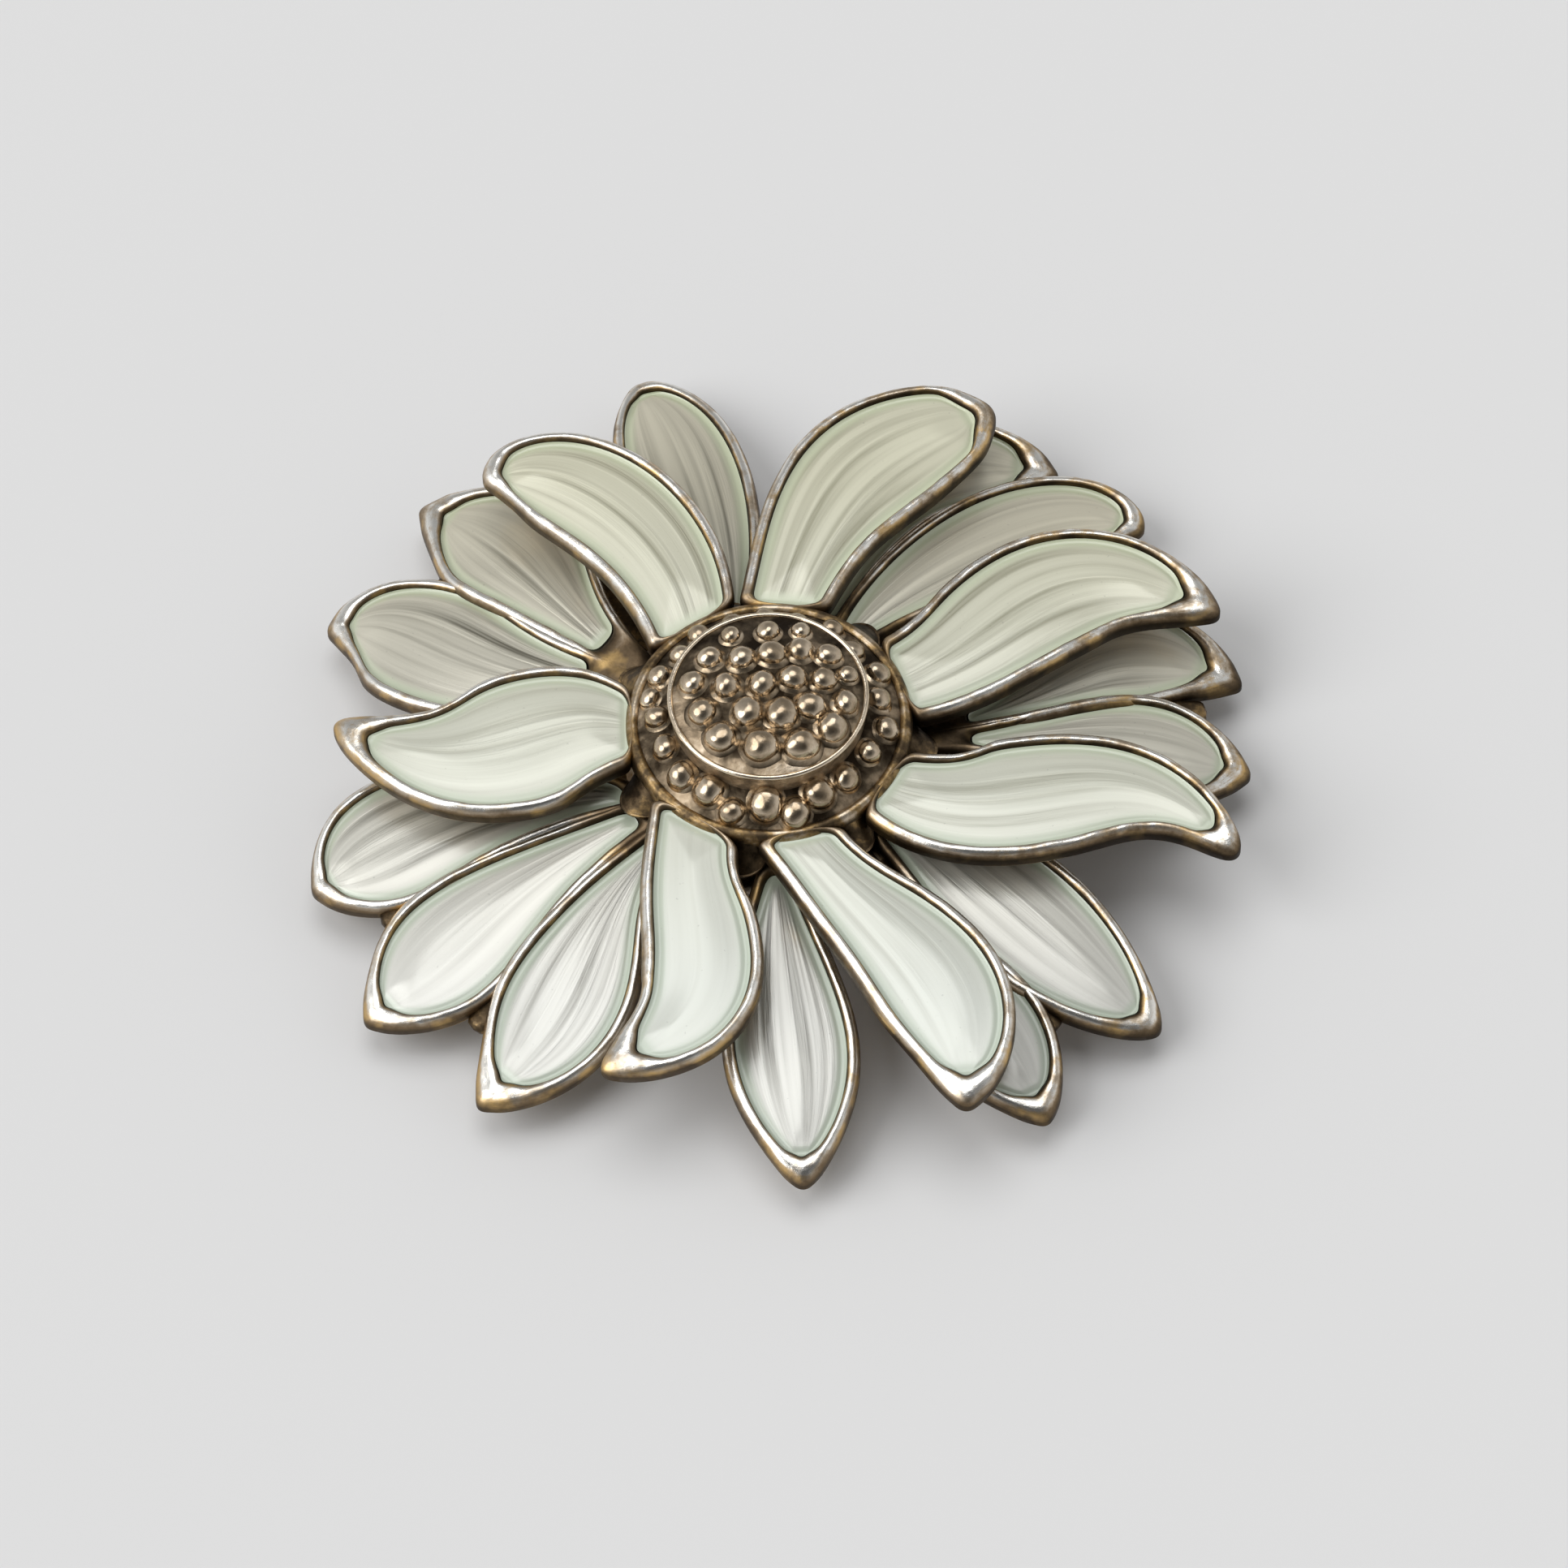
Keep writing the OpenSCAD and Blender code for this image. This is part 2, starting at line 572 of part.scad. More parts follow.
lower_flower();
upper_flower();
spacer();
centre_rivet();
back_washer();
seed_collar();
seed_cap();
hinge_base();
hinge_rivet();
pin_stem();
catch_body();
catch_roller();
for (i = [0 : len(lower_rows) - 1])
    lower_enamel(i);
for (i = [0 : len(upper_rows) - 1])
    upper_enamel(i);
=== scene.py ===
import math
import random

import bpy
from mathutils import Matrix, Quaternion, Vector, noise as dents


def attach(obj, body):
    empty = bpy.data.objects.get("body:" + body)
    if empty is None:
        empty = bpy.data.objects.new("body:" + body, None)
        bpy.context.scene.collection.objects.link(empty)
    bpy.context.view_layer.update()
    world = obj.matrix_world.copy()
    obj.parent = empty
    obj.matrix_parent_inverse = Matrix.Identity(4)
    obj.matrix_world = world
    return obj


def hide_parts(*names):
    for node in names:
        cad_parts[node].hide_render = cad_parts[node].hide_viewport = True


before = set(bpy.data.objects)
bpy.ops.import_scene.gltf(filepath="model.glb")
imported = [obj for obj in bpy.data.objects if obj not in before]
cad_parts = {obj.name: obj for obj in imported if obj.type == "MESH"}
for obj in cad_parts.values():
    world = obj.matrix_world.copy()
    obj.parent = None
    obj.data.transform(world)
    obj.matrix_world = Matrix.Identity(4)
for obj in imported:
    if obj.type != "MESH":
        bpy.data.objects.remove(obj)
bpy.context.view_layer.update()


# Lower flower: a plate of struck silver, gilded and since worn, with thirteen petals around a hub.
# Each petal is a shallow pan: a wall with a rounded crest around a sunk floor. The plate is domed,
# so the tips droop, and a web closes the notch between the tips of neighbouring petals.

MM = 0.001
FLOWER_TURN = Matrix.Rotation(math.radians(7), 2)
RIM_W = 0.6
RIM_CREST = 0.38
RIM_FALL = 0.5
RIM_LIP = 0.26
RIM_DENTS = 0.045
UNDER_EDGE = ((0.3, 0), (0.08, 0.05), (0, 0.22))
PAN_DEPTH = 0.75
RIVET_BORE = 0.95
STATIONS = 64

LOWER_REACH = 22.5
LOWER_W = 6.0
LOWER_T = 1.0
LOWER_DOME = 2.4
LOWER_BOW = 1.6
LOWER_ROOT_R = 6.5
LOWER_HUB_R = 8.0
LOWER_TOP = 4.8
LOWER_UNDER = LOWER_TOP - LOWER_T
LOWER_CELL_FROM = 0.12
LOWER_LONG_CELL_FROM = 0.03
LOWER_SHORT_CELLS = (4, 5, 12, 13)
LOWER_BLUNT = 0.55

# A petal: bearing of its root, heading there and pull of the spine along it, bearing of its tip, heading and
# pull there, extra reach, half-width of its root, two swells as shares of the width, half-width of its tip
LOWER_ROWS = [
    (102.5, 105.5, 0.27, 105, 135.5, 0.19, 1.0, 0.83, 0.52, 0.77, 0.38),
    (68, 60, 0.6, 48, -15.5, 0.51, -0.85, 0.9, 0.08, 0.94, 0.54),
    (56, 55, 0.25, 35, -45, 0.29, -0.35, 1, 0.35, 0.79, 0.3),
    (3.5, 9, 0.52, 9.5, -28.5, 0.54, 0.25, 0.86, 0.05, 1.02, 0.4),
    (-2, 2, 0.53, -3, -13.5, 0.37, 0, 0.6, 0.16, 0.98, 0.25),
    (-41, -27, 0.28, -40.5, -35, 0.34, 0.4, 1.1, 0.58, 0.8, 0.25),
    (-60, -65, 0.52, -58.5, -68, 0.36, 0.4, 0.76, 0.32, 0.87, 0.25),
    (-89.5, -89.5, 0.54, -88, -89.5, 0.37, 0, 0.76, 0.58, 0.74, 0.25),
    (-135, -135, 0.45, -128.5, -143.5, 0.44, 0, 0.88, 0.29, 0.99, 0.31),
    (-147.5, -153, 0.6, -146, -148, 0.33, 0.5, 1, 0.36, 0.97, 0.25),
    (-156.5, -186, 0.6, -165, -158, 0.22, -0.3, 1, 0.48, 0.99, 0.25),
    (-212, -181.5, 0.6, -203, -170.5, 0.32, 0.15, 1, 0.58, 0.96, 0.25),
    (-214, -228, 0.6, -224, -209, 0.42, 0.4, 1, 0.28, 1.1, 0.25),
]


def polar(r, bearing):
    """A point at a radius and a bearing in degrees."""
    angle = math.radians(bearing)
    return Vector((r * math.cos(angle), r * math.sin(angle)))


def ease(x):
    """A smooth step from 0 to 1."""
    t = min(max(x, 0), 1)
    return t * t * (3 - 2 * t)


def bezier(points, s):
    """A cubic curve's point, or its value, at a share of its length."""
    q = 1 - s
    return points[0] * q**3 + points[1] * (3 * s * q * q) + points[2] * (3 * s * s * q) + points[3] * s**3


class Petal:
    """The course of one petal: its spine, its half-widths along it and the height of its plate, in mm."""

    square_from = 0.4
    taper = 1.2
    end_short = 0.2
    root_round = 0.5
    sharp_tip_rim = 2.4

    def __init__(self, row, root_r, reach, width, cell_from, top_at, blunt):
        (
            self.bearing, root_heading, root_pull, tip_bearing, tip_heading, tip_pull, extra_reach,
            root_half, root_swell, tip_swell, tip_half,
        ) = row
        root = polar(root_r, self.bearing)
        tip = polar(reach + extra_reach, tip_bearing)
        self.length = (tip - root).length
        first = root + polar(root_pull * self.length, root_heading)
        second = tip - polar(tip_pull * self.length, tip_heading)
        self.spine = [root, first, second, tip]
        self.halves = [root_half, root_swell * width, tip_swell * width, max(tip_half, 0.75 * blunt)]
        self.tip_r = max(tip_half, blunt)
        self.tip_rim = self.sharp_tip_rim - 0.75 * self.tip_r
        self.cell_from = cell_from
        self.top_at = top_at

    def ends(self, inset):
        """The shares of the spine where a line that runs inset from the petal's edge starts and ends."""
        return self.cell_from * inset / RIM_W, 1 - (self.end_short + self.tip_rim * inset) / self.length

    def share(self, t, inset):
        """The share of the spine at t, which runs from 0 to 1 and is crowded at both ends."""
        first, last = self.ends(inset)
        return first + (last - first) * (1 - math.cos(math.pi * t)) / 2

    def half(self, s, inset):
        """Half the petal's width, less the inset, blunt at the tip and squarely rounded at the root."""
        first, last = self.ends(inset)
        left = max(last - s, 0) * self.length
        tip_r = self.tip_r * (1 - 0.4 * inset / RIM_W)
        blunt = math.sqrt(2 * tip_r * left) * (1 + (left / tip_r) ** 2)
        body = bezier(self.halves, s) - inset
        point = bezier(self.halves, 1 - left / self.length)
        wide = max(body + (point - body) * math.exp(-left / self.taper), 0.001)
        root_share = self.root_round / self.length
        root_x = max(first + root_share - s, 0) / root_share
        return wide * blunt / (wide**4 + blunt**4) ** 0.25 * max(1 - root_x**3, 0) ** (1 / 3)

    def side(self, s):
        """The way across the petal: along the hub's edge at the root, and soon square to the spine."""
        a, b, c, d = self.spine
        q = 1 - s
        run = (b - a) * q * q + (c - b) * (2 * s * q) + (d - c) * s * s
        heading = math.degrees(math.atan2(run.y, run.x))
        turn = (self.bearing - heading + 540) % 360 - 180
        return polar(1, heading + turn * (1 - ease(s / self.square_from)) + 90)

    def point(self, s, offset, drop):
        """A point at an offset across the petal and a drop below the top of its plate, in metres."""
        at = bezier(self.spine, s)
        flat = FLOWER_TURN @ (at + self.side(s) * offset)
        return Vector((flat.x, flat.y, self.top_at(at.length) - drop)) * MM


def lower_top(r):
    """Height of the lower plate's top at a radius."""
    fall = max(r - LOWER_ROOT_R, 0) / (LOWER_REACH - LOWER_ROOT_R)
    return LOWER_TOP - LOWER_DOME * fall**LOWER_BOW


def lower_petal(i):
    """A lower petal by its number; where petals crowd at the hub, their cells start further out."""
    cell_from = LOWER_CELL_FROM if i in LOWER_SHORT_CELLS else LOWER_LONG_CELL_FROM
    row = LOWER_ROWS[i - 1]
    return Petal(row, LOWER_ROOT_R, LOWER_REACH, LOWER_W, cell_from, lower_top, LOWER_BLUNT)


def shaped_grid(name, columns, rows, place):
    """A flat grid whose points are set by place(column, row)."""
    bpy.ops.object.select_all(action="DESELECT")
    bpy.ops.mesh.primitive_grid_add(x_subdivisions=columns, y_subdivisions=rows, size=1)
    piece = bpy.context.object
    piece.name = name
    piece.data.name = name
    for vertex in piece.data.vertices:
        vertex.co = place(round((vertex.co.x + 0.5) * columns), round((vertex.co.y + 0.5) * rows))
    return piece


def closed(piece, angle=40):
    """Merges a shaped grid's seams, turns its faces outwards and smooths all but its sharp edges."""
    bpy.ops.object.select_all(action="DESELECT")
    piece.select_set(True)
    bpy.context.view_layer.objects.active = piece
    bpy.ops.object.mode_set(mode="EDIT")
    bpy.ops.mesh.select_all(action="SELECT")
    bpy.ops.mesh.remove_doubles(threshold=0.002 * MM)
    bpy.ops.mesh.normals_make_consistent(inside=False)
    bpy.ops.object.mode_set(mode="OBJECT")
    bpy.ops.object.shade_smooth_by_angle(angle=math.radians(angle))
    return piece


def petal_pan(petal, thickness):
    """One petal's pan: rings around the petal, from its underside over the rounded crest to its floor."""
    quarter = [math.pi / 2 * k / 8 for k in range(9)]
    rings = [(None, thickness)] + [(inset, thickness - rise) for inset, rise in UNDER_EDGE]
    rings += [(RIM_CREST * (1 - math.cos(a)), RIM_FALL * (1 - math.sin(a))) for a in quarter]
    lip = RIM_W - RIM_CREST
    rings += [(RIM_CREST + lip * math.sin(a), RIM_LIP * (1 - math.cos(a))) for a in quarter[1:]]
    rings += [(RIM_W, PAN_DEPTH), (None, PAN_DEPTH)]
    columns = 2 * STATIONS

    def place(column, row):
        inset, drop = rings[row]
        t = 1 - abs(2 * column / columns - 1)
        hand = 1 if 2 * column < columns else -1
        s = petal.share(t, RIM_W if inset is None else inset)
        at = petal.point(s, hand * petal.half(s, inset) if inset is not None else 0, drop)
        if drop < RIM_FALL:
            at.z += RIM_DENTS * MM * (dents.noise(at / MM * 1.1) + 0.5 * dents.noise(at / MM * 3) - 0.8)
        return at

    return closed(shaped_grid("pan", columns, len(rings) - 1, place))


def turned(name, profile, sides=96):
    """A turned shape: a profile of radii and heights in mm, swept around the flower's axis."""

    def place(column, row):
        r, z = profile[row]
        flat = polar(r, 360 * column / sides)
        return Vector((flat.x, flat.y, z)) * MM

    return closed(shaped_grid(name, sides, len(profile) - 1, place))


def moved(piece, x, y):
    """Shifts a piece's mesh sideways, in mm."""
    piece.data.transform(Matrix.Translation((x * MM, y * MM, 0)))
    return piece


def joined(name, pieces):
    """Joins pieces into one."""
    bpy.ops.object.select_all(action="DESELECT")
    for piece in pieces:
        piece.select_set(True)
    bpy.context.view_layer.objects.active = pieces[0]
    bpy.ops.object.join()
    pieces[0].name = name
    pieces[0].data.name = name
    return pieces[0]


def add(tree, kind, inputs=None, **settings):
    """Adds a node, with its settings and with its inputs set to values or linked to sockets."""
    node = tree.nodes.new(kind)
    for key, value in settings.items():
        setattr(node, key, value)
    for key, value in (inputs or {}).items():
        if isinstance(value, bpy.types.NodeSocket):
            tree.links.new(value, node.inputs[key])
        else:
            node.inputs[key].default_value = value
    return node


def ramp(tree, factor, stops):
    """A colour ramp over a factor; a stop is a place and a grey or a colour."""
    node = add(tree, "ShaderNodeValToRGB", {"Fac": factor})
    elements = node.color_ramp.elements
    while len(elements) < len(stops):
        elements.new(0.5)
    for element, (place, colour) in zip(elements, stops):
        element.position = place
        element.color = (*colour, 1) if isinstance(colour, tuple) else (colour, colour, colour, 1)
    return node.outputs["Color"]


def noise(tree, vector, scale, detail, roughness):
    """A noise over a vector, about 0.5."""
    settings = {"Vector": vector, "Scale": scale, "Detail": detail, "Roughness": roughness}
    return add(tree, "ShaderNodeTexNoise", settings).outputs["Fac"]


def math_of(tree, operation, a, b=0.0, c=0.0):
    """The result of a sum on values or sockets."""
    return add(tree, "ShaderNodeMath", {0: a, 1: b, 2: c}, operation=operation).outputs[0]


def mixed(tree, factor, a, b, blend="MIX"):
    """A colour between a and b."""
    first, second = ((*value, 1) if isinstance(value, tuple) else value for value in (a, b))
    inputs = {0: factor, 6: first, 7: second}
    return add(tree, "ShaderNodeMix", inputs, data_type="RGBA", blend_type=blend).outputs[2]


def new_material(name):
    """A new material, its node tree and its shader."""
    material = bpy.data.materials.new(name)
    material.use_nodes = True
    return material, material.node_tree, material.node_tree.nodes["Principled BSDF"]


OXIDE = (0.022, 0.015, 0.009)
DARK_BRONZE = (0.10, 0.07, 0.04)
BRONZE = (0.23, 0.165, 0.10)
DULL_GILT = (0.30, 0.20, 0.09)
PALE_GILT = (0.56, 0.47, 0.36)
SILVER = (0.86, 0.845, 0.80)
GILT = (0.80, 0.53, 0.20)
# The side of the flower whose rims carry painted shade
SHADED_SIDE = (0.85, 0.53, 0)


def worn_and_shaded_silver_gilt(name, oxide_and_shade_within, flank):
    """Silver-gilt of the rims: rubbed to silver on the crest, brown down the walls and near the hub, from
    oxide and from painted shade and painted dark reflection.

    The side of the flower away from the key lamp is painted darker, as shade.
    """
    material, tree, bsdf = new_material(name)
    uv = add(tree, "ShaderNodeUVMap").outputs[0]
    way = add(tree, "ShaderNodeSeparateXYZ", {0: uv}).outputs["Y"]
    place = add(tree, "ShaderNodeTexCoord").outputs["Object"]
    flat = add(tree, "ShaderNodeVectorMath", {0: place, 1: (1, 1, 0)}, operation="MULTIPLY").outputs[0]
    radius = add(tree, "ShaderNodeVectorMath", {0: flat}, operation="LENGTH").outputs["Value"]
    patches = noise(tree, place, 420, 6, 0.6)
    rubbed = noise(tree, add(tree, "ShaderNodeMapping", {0: uv, "Scale": (60, 26, 1)}).outputs[0], 1, 4, 0.6)
    shifted = math_of(tree, "MULTIPLY_ADD", patches, 0.2, math_of(tree, "SUBTRACT", way, 0.1))
    # The walls are darker than the crest: oxide in the hollows, and on the outer walls painted dark
    # reflection; flank sets how light the outer walls are.
    tone = ramp(tree, shifted, [
        (0.07, 0.55), (0.12, 0.08), (0.18, 0.1), (0.28, 0.6 * flank), (0.36, flank), (0.43, 0.95),
        (0.62, 1.0), (0.69, 0.5), (0.77, 0.16), (0.92, 0.06),
    ])
    tarnish = ramp(tree, noise(tree, place, 900, 5, 0.65), [(0.3, 0.55), (0.58, 1.0)])
    # Oxide and painted shade: the metal is darker within a radius of the hub.
    hub_oxide_and_shade = add(tree, "ShaderNodeMapRange", {
        "Value": radius, "From Min": (oxide_and_shade_within - 1) * MM, "From Max": (oxide_and_shade_within + 1) * MM, "To Min": 0.22,
    }).outputs[0]
    wear_and_shade = math_of(tree, "MULTIPLY", math_of(tree, "MULTIPLY", tone, tarnish), hub_oxide_and_shade)
    wear_and_shade = math_of(tree, "MULTIPLY", wear_and_shade, ramp(tree, rubbed, [(0.3, 0.8), (0.5, 1.0)]))
    # Painted shade: the rims grow darker towards the side of the flower away from the key lamp.
    toward_shaded_side = add(tree, "ShaderNodeVectorMath", {0: place, 1: SHADED_SIDE}, operation="DOT_PRODUCT")
    side_shade = add(tree, "ShaderNodeMapRange", {
        "Value": toward_shaded_side.outputs["Value"], "From Min": -2 * MM, "From Max": 14 * MM,
        "To Min": 1.0, "To Max": 1.9,
    }).outputs[0]
    wear_and_shade = math_of(tree, "POWER", wear_and_shade, side_shade)
    metal = ramp(tree, wear_and_shade, [(0.0, OXIDE), (0.25, BRONZE), (0.55, PALE_GILT), (0.85, SILVER)])
    left = ramp(tree, noise(tree, place, 650, 3, 0.5), [(0.5, 0.0), (0.64, 0.6)])
    low = ramp(tree, wear_and_shade, [(0.05, 0.15), (0.3, 1.0), (0.75, 0.1)])
    tree.links.new(mixed(tree, math_of(tree, "MULTIPLY", left, low), metal, GILT), bsdf.inputs["Base Color"])
    bsdf.inputs["Metallic"].default_value = 1
    tree.links.new(ramp(tree, wear_and_shade, [(0.0, 0.5), (0.5, 0.34), (1.0, 0.2)]), bsdf.inputs["Roughness"])
    fine = add(tree, "ShaderNodeBump", {"Height": rubbed, "Strength": 0.2, "Distance": 0.04 * MM})
    broad = add(tree, "ShaderNodeBump", {
        "Height": patches, "Strength": 0.3, "Distance": 0.15 * MM, "Normal": fine.outputs[0],
    })
    tree.links.new(broad.outputs[0], bsdf.inputs["Normal"])
    return material


def oxidised_gilt(name, light):
    """Gilt metal that no cloth reaches, in the hollows and at the back: brown, with gold left in patches."""
    material, tree, bsdf = new_material(name)
    place = add(tree, "ShaderNodeTexCoord").outputs["Object"]
    patches = noise(tree, place, 700, 6, 0.65)
    metal = ramp(tree, math_of(tree, "ADD", patches, light), [
        (0.36, OXIDE), (0.52, DARK_BRONZE), (0.62, DULL_GILT), (0.75, PALE_GILT),
    ])
    tree.links.new(metal, bsdf.inputs["Base Color"])
    bsdf.inputs["Metallic"].default_value = 1
    tree.links.new(ramp(tree, patches, [(0.3, 0.5), (0.7, 0.26)]), bsdf.inputs["Roughness"])
    bump = add(tree, "ShaderNodeBump", {"Height": patches, "Strength": 0.4, "Distance": 0.12 * MM})
    tree.links.new(bump.outputs[0], bsdf.inputs["Normal"])
    return material


lower_metal = worn_and_shaded_silver_gilt("lower_silver_gilt", oxide_and_shade_within=9.6, flank=0.45)
hollow_metal = oxidised_gilt("oxidised_gilt", light=0.0)
back_metal = oxidised_gilt("back_gilt", light=0.17)


def finished(pieces, material):
    """Gives pieces a material."""
    for piece in pieces:
        piece.data.materials.append(material)
    return pieces


def dressed(piece, body, slot, *nodes):
    """Sets the body that a piece rides on and the nodes that it stands for."""
    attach(piece, body)
    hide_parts(*nodes)


# A web between two lower petals: bearing of its notch, and the notch's shortfall from the petals' reach
LOWER_WEBS = [(48.7, 1.9), (6.9, 2.5), (-49.8, 3.7), (-135.7, 3.6), (-156.9, 3.4), (144.3, 4.0)]


def lower_web(bearing, shortfall):
    """A web: a short ridge under the rims that ends in a round fin at the notch."""
    steps, sides, length, half, deep, sink = 16, 20, 1.8, 0.6, 0.3, 0.75
    along = FLOWER_TURN @ polar(1, bearing)
    across = Vector((-along.y, along.x))

    def place(column, row):
        t = row / steps
        r = LOWER_REACH - shortfall + half - length * (1 - t)
        swell = max(1 - (2 * t - 1) ** 6, 0) ** 0.5
        angle = 2 * math.pi * column / sides
        flat = along * r + across * (half * swell * math.cos(angle))
        return Vector((flat.x, flat.y, lower_top(r) - sink + deep * swell * math.sin(angle))) * MM

    return closed(shaped_grid("web", sides, steps, place))


def root_web(first, last, reach):
    """A dark plate between the roots of two lower petals, below their rims: painted shade that fills the gap
    there.
    """
    across, out, thick = 8, 6, 0.15

    def place(column, row):
        v = (*(k / out for k in range(out + 1)), *(1 - k / out for k in range(out + 1)), 0)[row]
        r = LOWER_ROOT_R + (reach - LOWER_ROOT_R) * v
        drop = PAN_DEPTH + (thick if out < row < 2 * out + 2 else 0)
        flat = FLOWER_TURN @ polar(r, first + (last - first) * column / across)
        return Vector((flat.x, flat.y, lower_top(r) - drop)) * MM

    return closed(shaped_grid("root_web", across, 2 * out + 2, place))


# A root web, a dark sheet of painted shade: its bearings and how far out it reaches
ROOT_SHADE_WEBS = [(112, 134, 13.6), (-57, -45, 11.0)]

# The round pads under the plate to which the hinge and the catch are soldered
PAD_R = 1.8
PAD_FLARE = 0.25
PAD_Z = 2.85
PAD_GAP = 0.05
FITTINGS_X = (12.3, -12.3)
FITTINGS_Y = 4.8

pans = [petal_pan(lower_petal(i), LOWER_T) for i in range(1, len(LOWER_ROWS) + 1)]
# The root webs are dark sheets of painted shade in gaps between the roots of the lower petals.
webs = [lower_web(*web) for web in LOWER_WEBS] + [root_web(*web) for web in ROOT_SHADE_WEBS]
backs = [turned("hub", [
    (RIVET_BORE, LOWER_UNDER), (LOWER_HUB_R - 0.2, LOWER_UNDER), (LOWER_HUB_R, LOWER_UNDER + 0.2),
    (LOWER_HUB_R - 1.2, LOWER_TOP - PAN_DEPTH), (LOWER_HUB_R - 1.6, LOWER_TOP), (RIVET_BORE, LOWER_TOP),
    (RIVET_BORE, LOWER_UNDER),
])]
pad_top = lower_top(math.hypot(FITTINGS_X[0], FITTINGS_Y)) - PAN_DEPTH - PAD_GAP
for x in FITTINGS_X:
    wall = [(PAD_R, PAD_Z), (PAD_R, PAD_Z + PAD_FLARE), (PAD_R + PAD_FLARE, pad_top)]
    pad = turned("pad", [(0, PAD_Z)] + wall + [(0, pad_top)], sides=48)
    backs.append(moved(pad, x, FITTINGS_Y))
pieces = finished(pans, lower_metal) + finished(webs, hollow_metal) + finished(backs, back_metal)
plate = joined("lower_flower_plate", pieces)
dressed(plate, "brooch", "silver_gilt", "lower_flower")


# Lower enamel: glass ground fine and fired into each pan over a fluted silver floor, then stoned level.
# It is clear enough for the flutes to shine through as soft streaks, and greener along the edges,
# where bare glass fills the foot of the wall.

ENAMEL_GAP = 0.02
ENAMEL_BELOW = 0.38
ENAMEL_STEP = 0.05
STEP_FROM = 0.2
STEP_RUN = 0.25
ENAMEL_CROWN = 0.18
CROWN_RUN = 2.2
ENAMEL_CREEP = 0.1
CREEP_RUN = 0.1
ALONG = 64
ACROSS = 48

# How strongly the flutes shine through each lower petal
LOWER_FLUTES = (0.9, 0.7, 0.9, 0.8, 0.8, 0.75, 0.6, 1.05, 1.0, 0.35, 0.9, 1.2, 0.9)


def petal_enamel(name, petal, flutes):
    """The enamel in one pan: a step up from its border, swollen in the middle, creeping up the wall."""
    inset = RIM_W + ENAMEL_GAP
    first, last = petal.ends(inset)
    rows = ACROSS + 3
    facts = {}

    def place(column, row):
        s = petal.share(column / ALONG, inset)
        half = petal.half(s, inset)
        if row <= ACROSS:
            lane = math.sin(math.pi / 2 * (1 - 2 * row / ACROSS))
        else:
            lane = (-1, 1, 1)[row - ACROSS - 1]
        edge = min(half * (1 - abs(lane)), (s - first) * petal.length, (last - s) * petal.length)
        rise = ENAMEL_STEP * ease((edge - STEP_FROM) / STEP_RUN) + ENAMEL_CROWN * ease(edge / CROWN_RUN)
        drop = ENAMEL_BELOW - rise - ENAMEL_CREEP * math.exp(-edge / CREEP_RUN)
        if row in (ACROSS + 1, ACROSS + 2):
            drop = PAN_DEPTH - ENAMEL_GAP
        facts[column, row] = (s * petal.length, lane, edge, flutes)
        return petal.point(s, lane * half, drop)

    piece = shaped_grid(name, ALONG, rows, place)
    order = [facts[column, row] for row in range(rows + 1) for column in range(ALONG + 1)]
    for part, fact in enumerate(("along", "lane", "edge", "flutes")):
        attribute = piece.data.attributes.new(fact, "FLOAT", "POINT")
        attribute.data.foreach_set("value", [values[part] for values in order])
    return closed(piece, 60)


STREAK_RUN = 16.0
# Painted light: a cool tint for the front of the flower and a warm tint for its back.
FRONT_LIGHT_TINT = (0.94, 0.975, 1.0)
BACK_LIGHT_TINT = (1.0, 0.98, 0.85)


